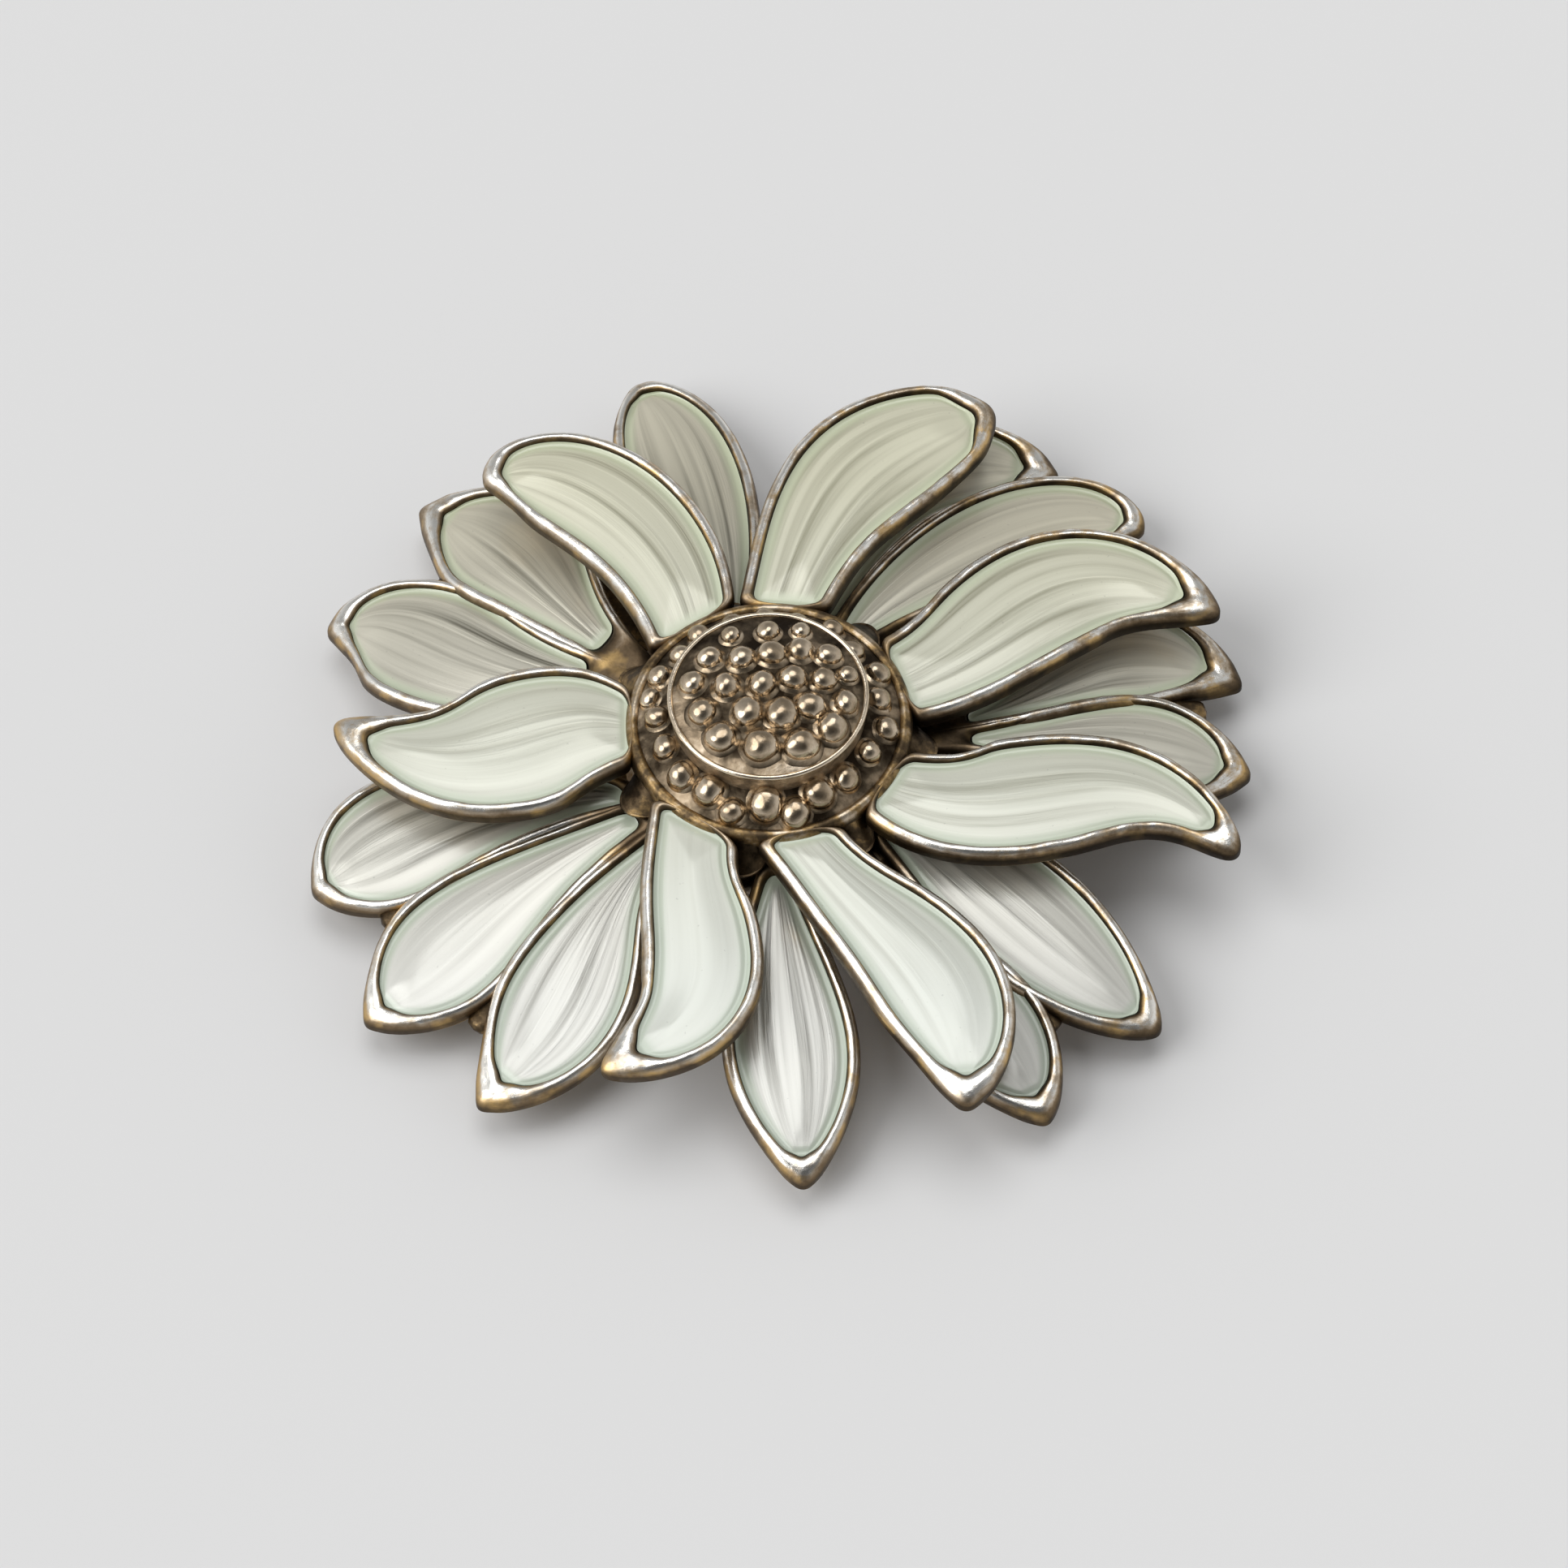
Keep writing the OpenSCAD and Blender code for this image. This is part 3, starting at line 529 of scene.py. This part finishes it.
def enamel(name, light, dark, border, band, lanes, silver):
    """Enamel over flutes: a border of bare glass, then streaks that fan out from the root and fade.

    Painted light: the glass is tinted cool at the front of the flower and warm towards its back.
    """
    material, tree, bsdf = new_material(name)
    place = add(tree, "ShaderNodeTexCoord").outputs["Object"]
    along, lane, edge, flutes = (
        add(tree, "ShaderNodeAttribute", attribute_name=fact).outputs["Fac"]
        for fact in ("along", "lane", "edge", "flutes")
    )
    chance = add(tree, "ShaderNodeObjectInfo").outputs["Random"]
    course = add(tree, "ShaderNodeCombineXYZ", {
        0: math_of(tree, "MULTIPLY", along, 0.03), 1: math_of(tree, "MULTIPLY", lane, lanes),
        2: math_of(tree, "MULTIPLY", chance, 40.0),
    }).outputs[0]
    drift = math_of(tree, "MULTIPLY_ADD", noise(tree, course, 0.9, 1, 0.5), 1.5, chance)
    phase = math_of(tree, "MULTIPLY_ADD", lane, lanes, drift)
    wave = math_of(tree, "SINE", math_of(tree, "MULTIPLY", phase, math.tau))
    ridge = ramp(tree, math_of(tree, "MULTIPLY_ADD", wave, 0.5, 0.5), [(0.1, 0.0), (0.55, 0.6), (0.8, 1.0)])
    lines = ramp(tree, noise(tree, course, 4.5, 3, 0.6), [(0.4, 0.0), (0.58, 1.0)])
    swell = ramp(tree, noise(tree, course, 1.3, 1, 0.5), [(0.35, 0.15), (0.6, 1.0)])
    tone = math_of(tree, "MULTIPLY_ADD", ridge, 0.65, math_of(tree, "MULTIPLY", lines, 0.35))
    plateau = ramp(tree, math_of(tree, "DIVIDE", edge, band), [(0.25, 0.0), (1.0, 1.0)])
    plateau.node.color_ramp.interpolation = "EASE"
    fade = ramp(tree, math_of(tree, "DIVIDE", along, STREAK_RUN), [(0.05, 1.0), (0.55, 0.85), (0.9, 0.2)])
    vigour = math_of(tree, "MULTIPLY", math_of(tree, "MULTIPLY", fade, flutes), swell)
    depth = math_of(tree, "MULTIPLY", math_of(tree, "SUBTRACT", 1.0, tone), vigour)
    body = mixed(tree, depth, light, dark)
    pits = ramp(tree, noise(tree, place, 5200, 2, 0.5), [(0.22, 0.8), (0.29, 1.0)])
    colour = mixed(tree, 1.0, mixed(tree, plateau, border, body), pits, "MULTIPLY")
    # Painted light: the colour is tinted cooler towards the front and warmer towards the back.
    back = add(tree, "ShaderNodeSeparateXYZ", {0: place}).outputs["Y"]
    share = math_of(tree, "MULTIPLY_ADD", back, 1 / (40 * MM), 0.5)
    painted_light_tint = ramp(tree, share, [(0.15, FRONT_LIGHT_TINT), (0.85, BACK_LIGHT_TINT)])
    tree.links.new(mixed(tree, 1.0, colour, painted_light_tint, "MULTIPLY"), bsdf.inputs["Base Color"])
    height = math_of(tree, "MULTIPLY", plateau, math_of(tree, "MULTIPLY", tone, vigour))
    bump = add(tree, "ShaderNodeBump", {"Height": height, "Strength": 1.0, "Distance": 0.03 * MM})
    tree.links.new(bump.outputs[0], bsdf.inputs["Normal"])
    tree.links.new(math_of(tree, "MULTIPLY", plateau, silver), bsdf.inputs["Metallic"])
    bsdf.inputs["Roughness"].default_value = 0.38
    bsdf.inputs["Coat Weight"].default_value = 1.0
    bsdf.inputs["Coat Roughness"].default_value = 0.18
    return material


pearl = enamel(
    "pearl_enamel", light=(0.69, 0.665, 0.605), dark=(0.16, 0.15, 0.12), border=(0.53, 0.58, 0.465),
    band=0.72, lanes=2.9, silver=0.45,
)
for i in range(1, len(LOWER_ROWS) + 1):
    fill = petal_enamel(f"lower_petal_enamel_{i}", lower_petal(i), LOWER_FLUTES[i - 1])
    dressed(finished([fill], pearl)[0], "brooch", "pearl_enamel", f"lower_enamel_{i}")


# Upper flower: a second struck plate, with seven longer petals that curl sideways, riveted over the first
# with a spacer between. Its hub is a ring around the seeds, and between the petals skirts run down from it.

UPPER_REACH = 21.0
UPPER_W = 6.4
UPPER_T = 1.1
UPPER_DROP = 0.8
UPPER_BOW = 1.5
UPPER_ROOT_R = 6.2
UPPER_TOP = 6.6
UPPER_UNDER = UPPER_TOP - UPPER_T
UPPER_CELL_FROM = 0.012
UPPER_BLUNT = 0.75
UPPER_HUB_R = 6.65
SEAT_R = 6.06
SEAT_Z = 6.3

# The petals, each as a lower petal is given
UPPER_ROWS = [
    (82.5, 71.5, 0.52, 57.5, 21, 0.43, 0.3, 2.11, 0.47, 0.79, 1.33),
    (18.5, 18, 0.35, 14.5, -33.5, 0.62, 1.15, 2.4, 0.51, 0.78, 0.26),
    (-34.5, -32, 0.42, -20, -56, 0.55, 1.65, 1.97, 0.69, 0.49, 0.25),
    (-80, -58, 0.43, -68.5, -96, 0.47, 1.2, 2.06, 0.28, 0.85, 0.48),
    (-124.5, -100, 0.46, -115, -158.5, 0.62, -1.1, 2.4, 0.35, 0.65, 0.43),
    (-180, -192, 0.38, -184.5, -217.5, 0.62, -0.6, 2, 0.85, 0.58, 0.37),
    (-237.5, -262, 0.5, -228, -148.5, 0.27, -1.35, 2.34, 0.47, 0.67, 0.56),
]


def upper_top(r):
    """Height of the upper plate's top at a radius."""
    fall = max(r - UPPER_ROOT_R, 0) / (UPPER_REACH - UPPER_ROOT_R)
    return UPPER_TOP - UPPER_DROP * fall**UPPER_BOW


def upper_petal(i):
    """An upper petal by its number."""
    row = UPPER_ROWS[i - 1]
    return Petal(row, UPPER_ROOT_R, UPPER_REACH, UPPER_W, UPPER_CELL_FROM, upper_top, UPPER_BLUNT)


def skirt(bearing):
    """A skirt: a concave leaf that runs from the hub's ring down into the angle between two petals."""
    across, down, spread, start, reach, fall, thick = 16, 8, 12, 6.3, 1.5, 1.45, 0.12

    def place(column, row):
        u = 2 * column / across - 1
        v = (*(k / down for k in range(down + 1)), 1, 0, 0)[row]
        r = start + reach * v * (1 - u * u)
        z = UPPER_TOP - 0.15 - fall * (1 - (1 - v) ** 3) - (thick if down < row < down + 3 else 0)
        flat = FLOWER_TURN @ polar(r, bearing + spread * u)
        return Vector((flat.x, flat.y, z)) * MM

    return closed(shaped_grid("skirt", across, down + 3, place))


upper_metal = worn_and_shaded_silver_gilt("upper_silver_gilt", oxide_and_shade_within=7.0, flank=0.65)
ring_metal = oxidised_gilt("ring_gilt", light=0.1)
skirt_metal = oxidised_gilt("skirt_gilt", light=-0.06)
pans = [petal_pan(upper_petal(i), UPPER_T) for i in range(1, len(UPPER_ROWS) + 1)]
hub = turned("hub", [
    (RIVET_BORE, UPPER_UNDER), (UPPER_HUB_R - 0.1, UPPER_UNDER), (UPPER_HUB_R, UPPER_UNDER + 0.15),
    (UPPER_HUB_R - 0.05, UPPER_TOP - 0.3), (UPPER_HUB_R - 0.17, UPPER_TOP - 0.1),
    (UPPER_HUB_R - 0.35, UPPER_TOP - 0.02), (UPPER_HUB_R - 0.5, UPPER_TOP - 0.04),
    (SEAT_R, UPPER_TOP - 0.12), (SEAT_R, SEAT_Z), (RIVET_BORE, SEAT_Z), (RIVET_BORE, UPPER_UNDER),
])
skirts = []
for row, after in zip(UPPER_ROWS, UPPER_ROWS[1:] + UPPER_ROWS[:1]):
    skirts.append(skirt(row[0] - (row[0] - after[0]) % 360 / 2))
pieces = finished(pans, upper_metal) + finished([hub], ring_metal) + finished(skirts, skirt_metal)
plate = joined("upper_flower_plate", pieces)
dressed(plate, "brooch", "silver_gilt", "upper_flower")


# Upper enamel: fired into the upper pans as the lower is, but with more white in the glass, so that it is
# milkier and the flutes below it show as softer streaks.

# How strongly the flutes shine through each upper petal; strong flutes also darken the far petals as painted
# shade.
UPPER_FLUTES_AND_SHADE = (1.1, 1.2, 0.7, 0.5, 0.15, 0.6, 1.0)

milk = enamel(
    "milk_enamel", light=(0.70, 0.70, 0.62), dark=(0.33, 0.325, 0.255), border=(0.58, 0.63, 0.51),
    band=0.72, lanes=2.6, silver=0.22,
)
for i in range(1, len(UPPER_ROWS) + 1):
    fill = petal_enamel(f"upper_petal_enamel_{i}", upper_petal(i), UPPER_FLUTES_AND_SHADE[i - 1])
    dressed(finished([fill], milk)[0], "brooch", "milk_enamel", f"upper_enamel_{i}")


# Seed collar: a sloping ring of gilt metal in the hub's seat, with drawn seeds in a zigzag around it. The
# gilding is worn to brown, and black oxide fills the ground between the seeds.

COLLAR_R = 6.0
COLLAR_EDGE_R = 5.9
COLLAR_BORE = 2.3
COLLAR_TOP = 7.3
COLLAR_FALL = 0.8
CAP_R = 4.5
CAP_RIM_Z = 8.4
CAP_DOME = 0.85

# A collar seed: its radius on the ring, its bearing and its size
COLLAR_SEEDS = [
    (5.08, -160, 0.56), (5.2, -141, 0.62), (5.04, -124, 0.7), (5.55, -109.5, 0.58), (5.04, -93, 0.74),
    (5.5, -79, 0.66), (5.04, -65, 0.68), (5.06, -48, 0.62), (5.1, -28, 0.56), (5.45, -11, 0.56),
    (5.05, 5, 0.55), (5.45, 22, 0.55), (5.05, 39, 0.54), (5.45, 56, 0.52), (5.05, 73, 0.52), (5.32, 90, 0.5),
    (5.05, 107, 0.52), (5.45, 124, 0.52), (5.1, 140, 0.52), (5.45, 155, 0.52), (5.5, 168, 0.5),
    (5.1, 181, 0.55),
]
SEED_SWELL = 1.08
SEED_LIFT = 0.2
SEED_FLARE = [(1.32, -0.26), (1.2, -0.19), (1.1, -0.1), (1.03, -0.04)]

DARK_GOLD = (0.10, 0.076, 0.05)
BROWN_GOLD = (0.38, 0.295, 0.20)
BRIGHT_GOLD = (0.74, 0.63, 0.49)


def old_gold(name, dull, blotched, rough):
    """Old gilding: polished brown gold where it stands up, dull and black with oxide where it lies low. On
    the seeds the level also carries painted reflection.
    """
    material, tree, bsdf = new_material(name)
    place = add(tree, "ShaderNodeTexCoord").outputs["Object"]
    stand = add(tree, "ShaderNodeAttribute", attribute_name="stand").outputs["Fac"]
    patches = noise(tree, place, 1100, 5, 0.6)
    blotches = ramp(tree, noise(tree, place, 700, 3, 0.5), [(0.36, 0.0), (0.62, 1.0)])
    level = math_of(tree, "MULTIPLY_ADD", patches, 0.9, math_of(tree, "SUBTRACT", stand, 0.45 + blotched / 2))
    level = math_of(tree, "MULTIPLY_ADD", blotches, blotched, level)
    metal = ramp(tree, level, [(0.0, OXIDE), (0.3, DARK_GOLD), (0.6, BROWN_GOLD), (1.0, BRIGHT_GOLD)])
    tree.links.new(metal, bsdf.inputs["Base Color"])
    bsdf.inputs["Metallic"].default_value = 1
    tree.links.new(ramp(tree, level, [(0.0, 0.55), (0.5, 1.6 * dull), (1.0, dull)]), bsdf.inputs["Roughness"])
    bump = add(tree, "ShaderNodeBump", {"Height": patches, "Strength": 0.3, "Distance": rough * MM})
    tree.links.new(bump.outputs[0], bsdf.inputs["Normal"])
    return material


seed_gold = old_gold("seed_gold", dull=0.17, blotched=0.12, rough=0.1)
ground_gold = old_gold("ground_gold", dull=0.36, blotched=0.5, rough=0.4)
seed_dice = random.Random(11)


def stood(piece, height_of):
    """Stores a level for each point, from 0 to 1, which the gilding's brightness follows."""
    attribute = piece.data.attributes.new("stand", "FLOAT", "POINT")
    attribute.data.foreach_set("value", [height_of(vertex.co / MM) for vertex in piece.data.vertices])
    return piece


def seed(x, y, z, tilt, r):
    """One drawn seed: a ball, never quite round, that flares into its ground and leans out with its slope."""
    sides, steps = 24, 12
    r *= SEED_SWELL
    lean = [1 + seed_dice.uniform(-0.06, 0.06) for _ in range(2)]
    top = 0.88 - seed_dice.uniform(0, 0.1)
    rise = [math.pi / 2 * k / steps for k in range(steps + 1)]
    profile = SEED_FLARE + [(math.cos(a), math.sin(a) * top) for a in rise]
    turn = Quaternion((-y, x, 0), tilt)
    centre = Vector((x, y, z)) + turn @ Vector((0, 0, SEED_LIFT * r))

    def place(column, row):
        radius, height = profile[row]
        flat = polar(radius * r, 360 * column / sides)
        arm = turn @ Vector((flat.x * lean[0], flat.y * lean[1], height * r))
        return (centre + arm * (0.97 + 0.12 * dents.noise((centre + arm) * 1.4))) * MM

    def stand(co):
        arm = turn.inverted() @ (co - centre) / r
        out = math.hypot(arm.x, arm.y)
        # Painted reflection: each seed is lighter round its sides than on its top.
        return 0.6 - 1.2 * max(out - 1.05, 0) if arm.z < 0 else 0.84 - 0.2 * arm.z

    return stood(closed(shaped_grid("seed", sides, len(profile) - 1, place)), stand)


def collar_z(r):
    """Height of the collar's slope at a radius."""
    return COLLAR_TOP - COLLAR_FALL * (r - CAP_R) / (COLLAR_R - CAP_R)


ring = turned("ring", [
    (COLLAR_BORE, SEAT_Z), (COLLAR_R, SEAT_Z), (COLLAR_R + 0.05, SEAT_Z + 0.15),
    (COLLAR_EDGE_R, collar_z(COLLAR_EDGE_R)), (CAP_R, COLLAR_TOP), (COLLAR_BORE, COLLAR_TOP),
    (COLLAR_BORE, SEAT_Z),
])
stood(ring, lambda co: 0.32 * ease((math.hypot(co.x, co.y) - 5.5) / 0.4))
seeds = []
collar_tilt = math.atan2(COLLAR_FALL, COLLAR_R - CAP_R)
for r, bearing, size in COLLAR_SEEDS:
    at = FLOWER_TURN @ polar(r, bearing)
    seeds.append(seed(at.x, at.y, collar_z(r), collar_tilt, size))
collar = joined("seed_collar_ring", finished([ring], ground_gold) + finished(seeds, seed_gold))
dressed(collar, "brooch", "old_gold", "seed_collar")


# Seed cap: a domed lid with a straight wall, a fine wire soldered around its edge and rows of seeds on top.
# The rows are set by eye, so they bow to the front, where the seeds are the largest.

CAP_WIRE_R = 0.14
DOME_R = (CAP_R**2 + CAP_DOME**2) / (2 * CAP_DOME)

# A cap seed: its place on the dome and its size
CAP_SEEDS = [
    (-1.6, 3.1, 0.48), (0.1, 3.15, 0.54), (1.6, 3.2, 0.45), (-2.6, 1.8, 0.59), (-1.15, 1.6, 0.62),
    (0.25, 1.75, 0.62), (1.55, 2.0, 0.6), (2.8, 1.75, 0.56), (-3.45, 0.55, 0.59), (-1.85, 0.05, 0.62),
    (-0.25, 0, 0.64), (1.15, 0.3, 0.6), (2.55, 0.3, 0.55), (3.65, 0.75, 0.42), (-3.0, -1.1, 0.62),
    (-0.95, -1.4, 0.67), (0.6, -1.6, 0.72), (1.9, -1.15, 0.66), (3.5, -0.8, 0.57), (-2.2, -2.5, 0.67),
    (-0.4, -3.1, 0.78), (1.4, -3.1, 0.76), (2.85, -2.15, 0.67),
]


def dome_z(r):
    """Height of the dome at a radius."""
    return CAP_RIM_Z + CAP_DOME - DOME_R + math.sqrt(DOME_R**2 - r * r)


dome = [(CAP_R * k / 12, dome_z(CAP_R * k / 12)) for k in range(12, -1, -1)]
cap = turned("cap", [(0, COLLAR_TOP), (CAP_R, COLLAR_TOP)] + dome)
# The cap's ground is lighter towards its edge at the front.
stood(cap, lambda co: 0.1 + 0.55 * ease((math.hypot(co.x, co.y) - 3.2) / 1.0) * ease(0.5 - co.y / 6))
circle = [math.tau * k / 12 for k in range(13)]
wire = turned("wire", [
    (CAP_R + CAP_WIRE_R * math.cos(a), CAP_RIM_Z + CAP_WIRE_R * math.sin(a)) for a in circle
])
stood(wire, lambda co: 0.95)
seeds = []
for x, y, size in CAP_SEEDS:
    at = FLOWER_TURN @ Vector((x, y))
    seeds.append(seed(at.x, at.y, dome_z(at.length), math.asin(at.length / DOME_R), size))
lid = joined("seed_cap_dome", finished([cap], ground_gold) + finished([wire] + seeds, seed_gold))
dressed(lid, "brooch", "old_gold", "seed_cap")


# Rivet stack: a spacer disc between the plates, the rivet through all three, and a washer under its peened
# end. Turned from silver, hidden from above, and brown in patches.

def old_silver():
    """Silver of the fittings at the back: bright where it is handled, brown in patches."""
    material, tree, bsdf = new_material("fitting_silver")
    place = add(tree, "ShaderNodeTexCoord").outputs["Object"]
    patches = noise(tree, place, 600, 6, 0.6)
    metal = ramp(tree, patches, [(0.3, BRONZE), (0.48, PALE_GILT), (0.62, SILVER)])
    tree.links.new(metal, bsdf.inputs["Base Color"])
    bsdf.inputs["Metallic"].default_value = 1
    tree.links.new(ramp(tree, patches, [(0.35, 0.45), (0.65, 0.22)]), bsdf.inputs["Roughness"])
    return material


def coated(material, *names):
    """Gives pieces that keep the shape of their solids a material."""
    for name in names:
        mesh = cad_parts[name].data
        mesh.materials.clear()
        mesh.materials.append(material)


fitting_silver = old_silver()
coated(fitting_silver, "spacer", "centre_rivet", "back_washer")


# Hinge: a foot with two ears, soldered to a pad on the back of a petal, and the rivet that is its axle,
# headed over on both sides. Silver, as the rivet stack.

coated(fitting_silver, "hinge_base", "hinge_rivet")


# Pin: a hard wire with a flat knuckle at the hinge and a long taper to its point, bright and finely scored
# along its length from being drawn.

GREY_SILVER = (0.60, 0.58, 0.53)


def drawn_wire():
    """Hard nickel silver with fine lines along the wire."""
    material, tree, bsdf = new_material("drawn_wire")
    place = add(tree, "ShaderNodeTexCoord").outputs["Object"]
    course = add(tree, "ShaderNodeMapping", {0: place, "Scale": (120, 5000, 5000)}).outputs[0]
    scores = noise(tree, course, 1, 3, 0.6)
    tree.links.new(ramp(tree, scores, [(0.3, GREY_SILVER), (0.6, SILVER)]), bsdf.inputs["Base Color"])
    bsdf.inputs["Metallic"].default_value = 1
    tree.links.new(ramp(tree, scores, [(0.3, 0.36), (0.7, 0.2)]), bsdf.inputs["Roughness"])
    return material


coated(drawn_wire(), "pin_stem")


# Catch: a slotted housing soldered to a second pad, and the roller inside it, which the thumb turns over the
# pin. Both are turned silver, as the hinge.

coated(fitting_silver, "catch_body", "catch_roller")


# Floor, lights and camera: a pale table in a pale room, under two large soft lamps, seen as in the photo.
# The room is dimmer high over the front and the back of the table, which gives the metal its dark edges.

FLOOR_GREY = 0.74
bpy.ops.mesh.primitive_plane_add(size=4)
floor = bpy.context.object
floor.name = "floor"
floor_paint, tree, bsdf = new_material("floor_paint")
bsdf.inputs["Base Color"].default_value = (FLOOR_GREY, FLOOR_GREY, FLOOR_GREY, 1)
bsdf.inputs["Roughness"].default_value = 0.7
finished([floor], floor_paint)

world = bpy.data.worlds.new("studio")
bpy.context.scene.world = world
world.use_nodes = True
tree = world.node_tree
way = add(tree, "ShaderNodeTexCoord").outputs["Generated"]


def towards(direction, stops):
    """A grey that changes with how near a ray comes to a direction."""
    dot = add(tree, "ShaderNodeVectorMath", {0: way, 1: direction}, operation="DOT_PRODUCT").outputs["Value"]
    return ramp(tree, math_of(tree, "MULTIPLY_ADD", dot, 0.5, 0.5), stops)


near = towards((0.05, -0.55, 0.83), [(0.0, 0.62), (0.55, 0.76), (0.76, 0.68), (0.87, 0.34), (0.97, 0.07)])
far = towards((-0.05, 0.74, 0.67), [(0.8, 1.0), (0.96, 0.45)])
room = mixed(tree, 1.0, near, far, "MULTIPLY")
tree.links.new(room, tree.nodes["Background"].inputs["Color"])


def soft_light(name, direction, spread, strength):
    """A large round lamp, far away in a direction and as many degrees across as its spread."""
    bpy.ops.object.light_add(type="SUN", location=direction)
    lamp = bpy.context.object
    lamp.name = name
    lamp.data.angle = math.radians(spread)
    lamp.data.energy = strength
    lamp.rotation_euler = Vector(direction).to_track_quat("Z", "Y").to_euler()


soft_light("key", direction=(-0.67, -0.27, 0.69), spread=45, strength=1.6)
soft_light("top", direction=(-0.07, 0.22, 0.97), spread=41, strength=0.88)

ELEVATION = math.radians(56.6)
AZIMUTH = math.radians(7)
ROLL = math.radians(-2.09)
DISTANCE = 0.350
TARGET = Vector((0, 0, 0.0024))
PHOTO_SIZE = 1932
bpy.ops.object.camera_add()
camera = bpy.context.object
level = math.cos(ELEVATION)
back = Vector((math.sin(AZIMUTH) * level, -math.cos(AZIMUTH) * level, math.sin(ELEVATION)))
camera.location = TARGET + back * DISTANCE
camera.rotation_mode = "QUATERNION"
camera.rotation_quaternion = (-back).to_track_quat("-Z", "Y") @ Quaternion((0, 0, 1), ROLL)
camera.data.lens = 172.9
camera.data.sensor_width = 36
camera.data.shift_x = 16.4 / PHOTO_SIZE
camera.data.shift_y = -19.7 / PHOTO_SIZE
camera.data.clip_start = 0.01
bpy.context.scene.camera = camera
bpy.context.scene.view_settings.view_transform = "Standard"
